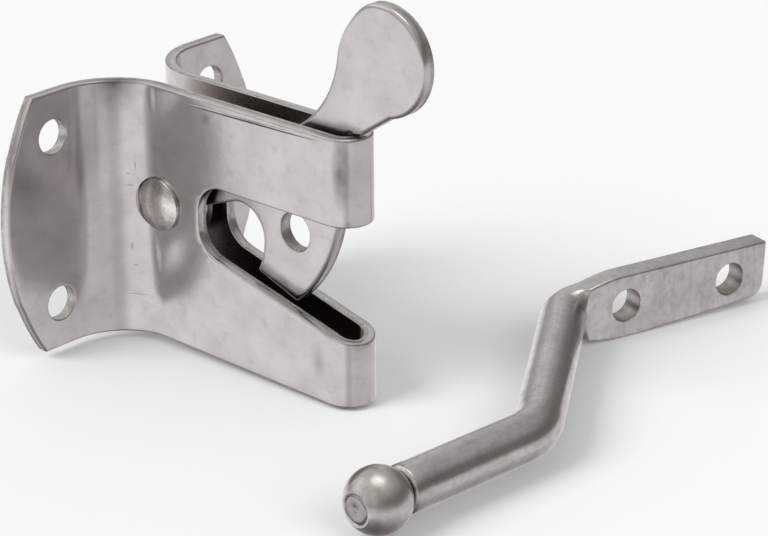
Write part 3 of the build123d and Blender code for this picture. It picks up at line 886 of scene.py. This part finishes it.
def flat_outline():
    """The flat's edge, from inside the neck to the free end, as run along the flat and height."""
    start_run = (flat_start - crank_end).dot(level(flat_turn))
    length = flat_reach - start_run
    neck_runs = [neck_run - neck_overlap + (flat_widening - neck_run + neck_overlap) * step / 10
                 for step in range(11)]
    lower = [Vector((run, -flat_edges(run)[1])) for run in neck_runs]
    upper = [Vector((run, flat_edges(run)[0])) for run in reversed(neck_runs)]
    lower_end, upper_end = Vector((length - flat_end_slant, -flat_end_bottom)), Vector((length, flat_top))
    lower.append(Vector((first_gate_hole - start_run + gate_hole_radius, -flat_bottom)))
    lower += rounded_corner(lower_end, lower[-1], upper_end, flat_lower_corner)
    return lower + rounded_corner(upper_end, lower_end, upper[0], flat_upper_corner) + upper, start_run


def eased_edges(rounding, steps):
    """A forged edge, rounded alike on both faces."""
    turns = [math.radians(90 * step / steps) for step in range(steps + 1)]
    near = [(rounding * (1 - math.sin(turn)), rounding * (1 - math.cos(turn))) for turn in turns]
    return near + [(inset, flat_thickness - depth) for inset, depth in reversed(near)]


outline, start_run = flat_outline()
flat_cuts = [(outline, eased_edges(flat_edge_round, 6), no_wall)]
for hole in (0, 1):
    hole_outline = round_hole((first_gate_hole - start_run + hole * gate_hole_pitch, 0), gate_hole_radius, 56)
    flat_cuts.append((hole_outline, eased_edges(gate_hole_round, gate_hole_easing), gate_hole_easing))
flat_plate = punched_plate(flat_cuts)
bmesh.ops.bisect_plane(flat_plate, geom=flat_plate.verts[:] + flat_plate.edges[:] + flat_plate.faces[:],
                       plane_co=(neck_run, 0, 0), plane_no=(-1, 0, 0), clear_outer=True)
bmesh.ops.contextual_create(flat_plate, geom=[edge for edge in flat_plate.edges if edge.is_boundary])
flat = finished_plate(flat_plate, "forged_flat")
along_flat, across_flat = level(flat_turn), level(flat_turn + math.pi / 2)
for face, in_hole in zip(flat.data.polygons, flat.data.attributes["finish"].data):
    face.material_index = 1 + in_hole.value
for vert in flat.data.vertices:
    run, height, depth = vert.co
    place = flat_start + along_flat * run + across_flat * (depth - flat_thickness / 2)
    vert.co = place + Vector((0, 0, height))
both = bmesh.new()
both.from_mesh(bar.data)
both.from_mesh(flat.data)
both.transform(on_striker)
both.to_mesh(bar.data)
both.free()
bpy.data.objects.remove(flat)


def zinc_plate(name, light, dark, roughness, along=(1500, 70, 1)):
    """Bright zinc over drawn bar: fine lines along it, duller patches and small dark specks."""
    material, tree, metal = shader(name)
    grain = wired(tree, "ShaderNodeUVMap", uv_map="grain").outputs[0]
    place = wired(tree, "ShaderNodeTexCoord").outputs["Object"]
    lines = texture(tree, "Noise", grain, 1, 5, along)
    clouds = texture(tree, "Noise", place, 150, 5)
    mottle = texture(tree, "Noise", place, 700, 6)
    pitting = texture(tree, "Voronoi", place, 420)
    tint = mixed(tree, ramp(tree, clouds, (0.36, 0), (0.64, 1)), dark, light)
    tint = darkened(tree, tint, 0.7, mottle, (0.30, 0.80), (0.55, 1))
    tint = darkened(tree, tint, 0.7, lines, (0.30, 0.84), (0.65, 1))
    tint, specks = specked(tree, tint, 0.6, pitting, clouds, (0.3, 0.27, 0.25), (0.04, 0.08), (0.52, 0.60))
    # Painted shade: the spigot's end, down in the ball's groove, is darker.
    run = wired(tree, "ShaderNodeSeparateXYZ", {0: grain}).outputs[1]
    tint = darkened(tree, tint, 1, run, (0.0012, (0.62, 0.60, 0.62)), (0.0022, (1, 1, 1)))
    dullness = ramp(tree, mottle, (0.3, roughness + 0.05), (0.7, roughness - 0.04))
    metal_finish(tree, metal, tint, dullness, [
        (clouds, 0.10, 0.0005), (lines, 0.14, 0.00004), (mottle, 0.05, 0.00006), (specks, 0.35, 0.00005),
    ])
    return material


up_the_flat = (120, 2600, 1)
for zinc in (
    zinc_plate("zinc_bar", (0.62, 0.605, 0.60), (0.53, 0.515, 0.51), 0.23),
    zinc_plate("zinc_flat", (0.62, 0.60, 0.60), (0.51, 0.49, 0.49), 0.27, up_the_flat),
    # The hole walls take a darker copy of the zinc: painted shade inside the holes.
    zinc_plate("shaded_zinc_holes", (0.40, 0.385, 0.37), (0.28, 0.27, 0.255), 0.36, up_the_flat),
):
    bar.data.materials.append(zinc)
closed(bar, 50)
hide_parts("striker_bar")
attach(bar, "latch")

# Ball: turned from bar, bored, and pressed onto the spigot, whose end stays in view in a small groove.
# It keeps the striker from slipping out sideways once the pawl has shut over the bar.
groove_depth, groove_lip, groove_step, groove_width = 0.00028, 0.00006, 0.00006, 0.00022
bore_depth, back_hole_radius, ball_steps = 0.003, 0.0043, 48
bore_radius = spigot_radius + 0.00003
back_face = shoulder - ball_back_gap
ball_profile = [
    (-ball_face + bore_depth, bore_radius), (-ball_face + groove_depth, bore_radius),
    (-ball_face + groove_depth, bore_radius + groove_step),
    (-ball_face + groove_lip, bore_radius + groove_width),
]
first_turn = math.asin(groove_outer / ball_radius)
last_turn = math.pi - math.asin(ball_back_radius / ball_radius)
for step in range(ball_steps + 1):
    turn = first_turn + (last_turn - first_turn) * step / ball_steps
    ball_profile.append((-ball_radius * math.cos(turn), ball_radius * math.sin(turn)))
ball_profile += [(back_face, back_hole_radius), (back_face, bore_radius), ball_profile[0]]
ball = turned("ball", ball_profile, 2 * ball_steps, on_striker @ Matrix.Rotation(math.radians(90), 4, "Y"))


def turned_zinc(name, light, dark, roughness):
    """Zinc over turned steel: faint streaks from the tool, duller patches and a fine mottle."""
    material, tree, metal = shader(name)
    place = wired(tree, "ShaderNodeTexCoord").outputs["Object"]
    clouds = texture(tree, "Noise", place, 190, 4)
    mottle = texture(tree, "Noise", place, 900, 6)
    streaks = texture(tree, "Noise", place, 1, 4, (1100, 1100, 160))
    tint = mixed(tree, ramp(tree, clouds, (0.36, 0), (0.64, 1)), dark, light)
    tint = darkened(tree, tint, 0.6, mottle, (0.30, 0.80), (0.55, 1))
    tint = darkened(tree, tint, 0.5, streaks, (0.35, 0.82), (0.6, 1))
    dullness = ramp(tree, mottle, (0.3, roughness + 0.06), (0.7, roughness - 0.04))
    metal_finish(tree, metal, tint, dullness, [(clouds, 0.18, 0.0006), (mottle, 0.05, 0.00006)])
    return material


ball.data.materials.append(turned_zinc("zinc_ball", (0.62, 0.605, 0.595), (0.52, 0.505, 0.495), 0.28))
closed(ball, 40)
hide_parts("striker_ball")
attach(ball, "latch")

# Camera: it stands where the photographer stood, a long lens away from the latch and a little above it, and
# looks down on both halves with a small roll.
azimuth, elevation, roll = math.radians(42.23), math.radians(22.58), math.radians(-0.43)
camera_place = (0.43612, -0.39849, 0.22552)
film_width, focal_pixels, picture_width = 36, 2907.56, 768
level_ahead = Vector((-math.sin(azimuth), math.cos(azimuth), 0))
ahead = level_ahead * math.cos(elevation) - Vector((0, 0, math.sin(elevation)))
right = ahead.cross(Vector((0, 0, 1))).normalized()
up = right.cross(ahead)
turned_right = right * math.cos(roll) + up * math.sin(roll)
turned_up = up * math.cos(roll) - right * math.sin(roll)
lens = bpy.data.cameras.new("camera")
lens.sensor_width = film_width
lens.lens = focal_pixels / picture_width * film_width
camera = placed("camera", lens)
camera_turn = Matrix((turned_right, turned_up, -ahead)).transposed().to_4x4()
camera.matrix_world = Matrix.Translation(camera_place) @ camera_turn
bpy.context.scene.camera = camera

# Floor: a wide pale table top, painted and dull. It takes the soft shadows and stays out of the reflections,
# which come from the room alone.
floor_reach, floor_height = 3, -0.03075
floor_sides = ((-1, -1), (1, -1), (1, 1), (-1, 1))
floor_corners = [(side * floor_reach, end * floor_reach, floor_height) for side, end in floor_sides]
floor_mesh = bpy.data.meshes.new("floor")
floor_mesh.from_pydata(floor_corners, [], [(0, 1, 2, 3)])
floor = placed("floor", floor_mesh)
floor_paint, floor_tree, floor_shader = shader("floor")
floor_shader.inputs["Base Color"].default_value = (0.95, 0.95, 0.955, 1)
floor_shader.inputs["Roughness"].default_value = 0.7
floor_mesh.materials.append(floor_paint)
floor.visible_glossy = False

# Room: white to the eye, and a plain level of light on everything. The metal sees a pale table below the
# horizon, a dark side and a lighter side above it, someone who stands by the camera, and a window behind.
dark_side = (
    (0.00, (0.20, 0.18, 0.19)), (0.12, (0.50, 0.46, 0.48)), (0.25, (0.85, 0.81, 0.83)),
    (0.43, (0.79, 0.75, 0.765)), (0.48, (0.24, 0.21, 0.195)), (0.68, (0.21, 0.19, 0.18)),
    (0.82, (0.45, 0.45, 0.435)), (0.955, (0.62, 0.61, 0.58)), (0.99, (2.1, 2.05, 1.95)),
)
light_side = (
    (0.00, (0.16, 0.15, 0.155)), (0.15, (0.42, 0.39, 0.40)), (0.27, (1.14, 1.10, 1.105)),
    (0.45, (1.04, 1.00, 1.005)), (0.50, (0.44, 0.42, 0.41)), (0.58, (0.46, 0.45, 0.435)),
    (0.65, (0.78, 0.77, 0.745)), (0.955, (0.74, 0.73, 0.70)), (0.99, (2.1, 2.05, 1.95)),
)
someone_strength, someone_colour = 0.33, (0.10, 0.09, 0.09)
window_height, window_full, window_end, window_colour = 0.62, 0.16, 0.30, (1.15, 1.13, 1.09)
plain_light, white = (0.50, 0.50, 0.51), (1.0, 1.0, 1.0)
world = bpy.data.worlds.new("room")
world.use_nodes = True
room = world.node_tree
outward = wired(room, "ShaderNodeTexCoord").outputs["Generated"]
towards_x, towards_y, height = wired(room, "ShaderNodeSeparateXYZ", {0: outward}).outputs
bearing = reckon(room, "ARCTAN2", reckon(room, "MULTIPLY", towards_y, -1), towards_x)
height_share = reckon(room, "MULTIPLY_ADD", height, 0.5, 0.5)


def around_middle(value, middle, full, end):
    """Full near a middle value and nothing past an end on either side, with a soft edge between."""
    off = reckon(room, "ABSOLUTE", reckon(room, "SUBTRACT", value, middle))
    inputs = {"Value": off, "From Min": full, "From Max": end, "To Min": 1.0, "To Max": 0.0}
    return wired(room, "ShaderNodeMapRange", inputs, interpolation_type="SMOOTHSTEP").outputs[0]


def facing(middle, half, edge):
    """How far a direction lies within a span of bearings, all in degrees, with soft ends."""
    return around_middle(bearing, math.radians(middle), math.radians(half - edge), math.radians(half + edge))


room_light = mixed(room, facing(-40, 78, 22), ramp(room, height_share, *light_side),
                   ramp(room, height_share, *dark_side))
someone_there = reckon(room, "MULTIPLY", facing(48, 12, 9), someone_strength)
room_light = mixed(room, someone_there, room_light, someone_colour)
window = around_middle(height, window_height, window_full, window_end)
window = reckon(room, "MULTIPLY", window, facing(152, 24, 8))
room_light = mixed(room, window, room_light, window_colour)
ray = wired(room, "ShaderNodeLightPath").outputs
room_light = mixed(room, ray["Is Glossy Ray"], plain_light, room_light)
room_light = mixed(room, ray["Is Camera Ray"], room_light, white)
room.links.new(room_light, room.nodes["Background"].inputs[0])
bpy.context.scene.world = world

# Lamps: two broad, soft ones, as far off as the sun, one from the front and above and one from the right.
# They light the whole table alike.


def soft_lamp(name, place, strength, spread):
    """A far, broad lamp that stays out of the metal's reflections."""
    light = bpy.data.lights.new(name, "SUN")
    light.energy = strength
    light.angle = math.radians(spread)
    lamp = placed(name, light)
    lamp.rotation_euler = (-Vector(place)).to_track_quat("-Z", "Y").to_euler()
    lamp.visible_glossy = False


soft_lamp("key", (-0.3, -0.9, 0.8), 1.75, 35)
soft_lamp("side", (1.0, -0.1, 0.7), 0.9, 40)
bpy.context.scene.view_settings.view_transform = "Standard"
